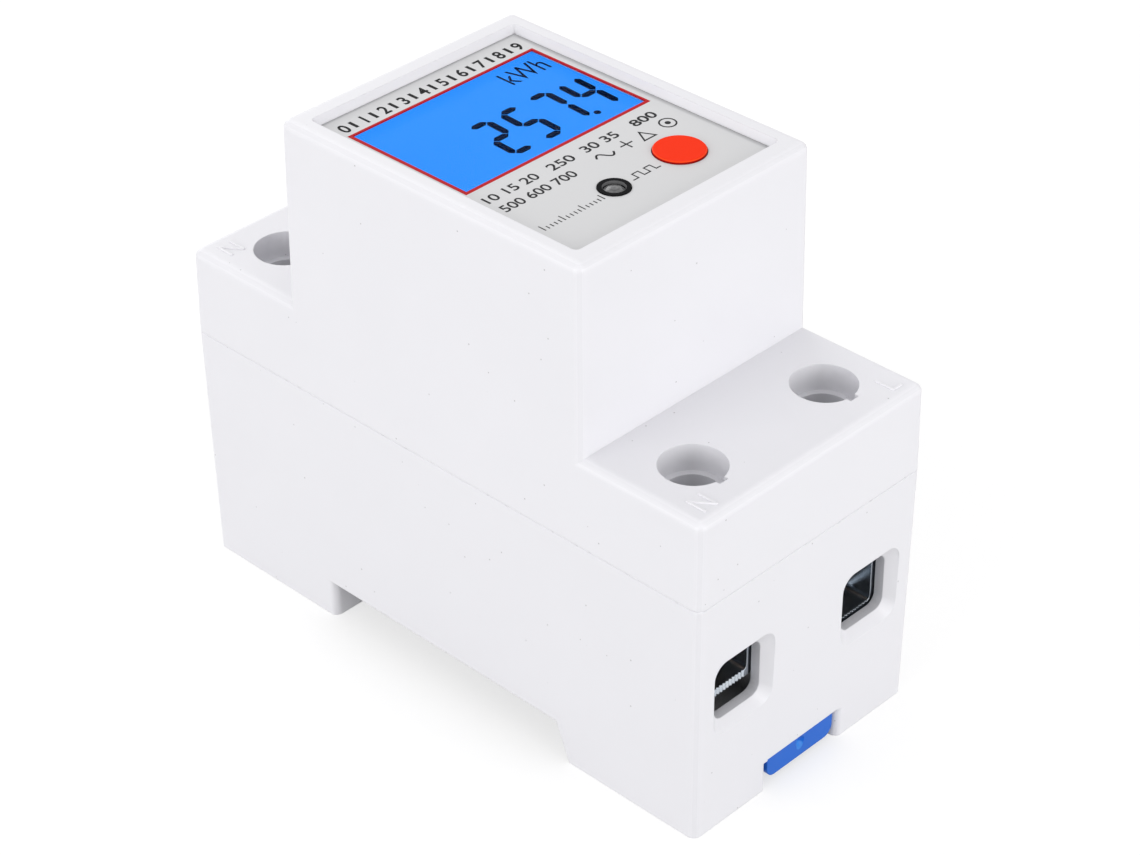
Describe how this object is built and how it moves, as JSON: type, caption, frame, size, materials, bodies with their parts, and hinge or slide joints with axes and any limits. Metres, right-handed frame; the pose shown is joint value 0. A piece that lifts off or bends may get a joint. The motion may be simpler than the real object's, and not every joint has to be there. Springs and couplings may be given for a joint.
{
  "type": "rail-mounted energy meter",
  "caption": "Narrow modular energy meter for a mounting rail: raised block with display and push button, low decks over screw clamp terminals, stepped feet with a sprung clip.",
  "frame": {"origin": "on the plane of the back feet, below the middle of the body", "axes": "+Z out of the face, +X to the right of a person who reads the face, +Y to the meter's top end, away from the rail clip"},
  "size_m": [0.036, 0.0786, 0.065],
  "materials": {
    "housing": "satin moulded, white",
    "pane": "clear polished",
    "film": "fine matt print, light grey",
    "display": "lit blue with dark segments",
    "white_plastic": "matt white",
    "contact_rubber": "matt black with a pale core",
    "board": "green solder mask",
    "button": "satin orange red",
    "black_plastic": "matt black",
    "lamp": "clear grey lens, unlit",
    "steel": "plated, bright",
    "yellow_case": "glossy yellow",
    "dark_sleeve": "dark shrink sleeve with aluminium top",
    "blue_coat": "dipped blue coating",
    "beige_coat": "beige lacquer with colour bands",
    "copper": "tinned copper",
    "shunt_alloy": "brown grey resistance alloy",
    "clip_plastic": "satin moulded, blue"
  },
  "bodies": {
    "housing": {"base_housing": "housing", "top_cover": "housing", "face_pane": "pane", "face_film": "film", "display_glass": "display", "backlight_plate": "white_plastic", "display_holder": "white_plastic", "contact_strip": "contact_rubber", "display_board": "board", "button_switch": "black_plastic", "pulse_lamp": "lamp", "lamp_ring": "black_plastic", "display_screws": "steel", "board_link": "black_plastic", "main_board": "board", "board_screws": "steel", "metering_chip": "black_plastic", "controller_chip": "black_plastic", "memory_chip": "black_plastic", "crystal": "steel", "film_capacitor": "yellow_case", "smoothing_capacitor": "dark_sleeve", "varistor": "blue_coat", "dropper_resistor": "beige_coat", "neutral_bar": "copper", "live_bar_in": "copper", "current_shunt": "shunt_alloy", "live_bar_out": "copper", "sense_pins": "copper", "clip_spring": "steel"},
    "button": {"function_button": "button", "switch_plunger": "black_plastic"},
    "clip": {"rail_clip": "clip_plastic"},
    "cage_near_n": {"cage_near_n": "steel"},
    "screw_near_n": {"screw_near_n": "steel"},
    "cage_near_l": {"cage_near_l": "steel"},
    "screw_near_l": {"screw_near_l": "steel"},
    "cage_far_n": {"cage_far_n": "steel"},
    "screw_far_n": {"screw_far_n": "steel"},
    "cage_far_l": {"cage_far_l": "steel"},
    "screw_far_l": {"screw_far_l": "steel"}
  },
  "joints": [
    {"name": "button_press", "type": "slide", "parent": "housing", "child": "button", "axis": [0, 0, -1], "range_m": [0, 0.0005], "stiffness_N_per_m": 3000},
    {"name": "clip_pull", "type": "slide", "parent": "housing", "child": "clip", "axis": [0, -1, 0], "range_m": [0, 0.0042], "stiffness_N_per_m": 1500, "springref_m": -0.001, "deforming": ["clip_spring"]},
    {"name": "lift_near_n", "type": "slide", "parent": "housing", "child": "cage_near_n", "axis": [0, 0, 1], "range_m": [-0.003, 0.0046]},
    {"name": "turn_near_n", "type": "hinge", "parent": "housing", "child": "screw_near_n", "pos_m": [-0.0104, -0.0313, 0.035], "axis": [0, 0, -1], "range_deg": [-1351, 2071]},
    {"name": "lift_near_l", "type": "slide", "parent": "housing", "child": "cage_near_l", "axis": [0, 0, 1], "range_m": [-0.0007, 0.0069]},
    {"name": "turn_near_l", "type": "hinge", "parent": "housing", "child": "screw_near_l", "pos_m": [0.0104, -0.0313, 0.035], "axis": [0, 0, -1], "range_deg": [-316, 3106]},
    {"name": "lift_far_n", "type": "slide", "parent": "housing", "child": "cage_far_n", "axis": [0, 0, 1], "range_m": [-0.0007, 0.0069]},
    {"name": "turn_far_n", "type": "hinge", "parent": "housing", "child": "screw_far_n", "pos_m": [-0.0104, 0.0313, 0.035], "axis": [0, 0, -1], "range_deg": [-316, 3106]},
    {"name": "lift_far_l", "type": "slide", "parent": "housing", "child": "cage_far_l", "axis": [0, 0, 1], "range_m": [-0.0007, 0.0069]},
    {"name": "turn_far_l", "type": "hinge", "parent": "housing", "child": "screw_far_l", "pos_m": [0.0104, 0.0313, 0.035], "axis": [0, 0, -1], "range_deg": [-316, 3106]}
  ],
  "couplings": [
    {"joint": "turn_near_n", "follows": "lift_near_n", "rad_per_m": 7854},
    {"joint": "turn_near_l", "follows": "lift_near_l", "rad_per_m": 7854},
    {"joint": "turn_far_n", "follows": "lift_far_n", "rad_per_m": 7854},
    {"joint": "turn_far_l", "follows": "lift_far_l", "rad_per_m": 7854}
  ]
}
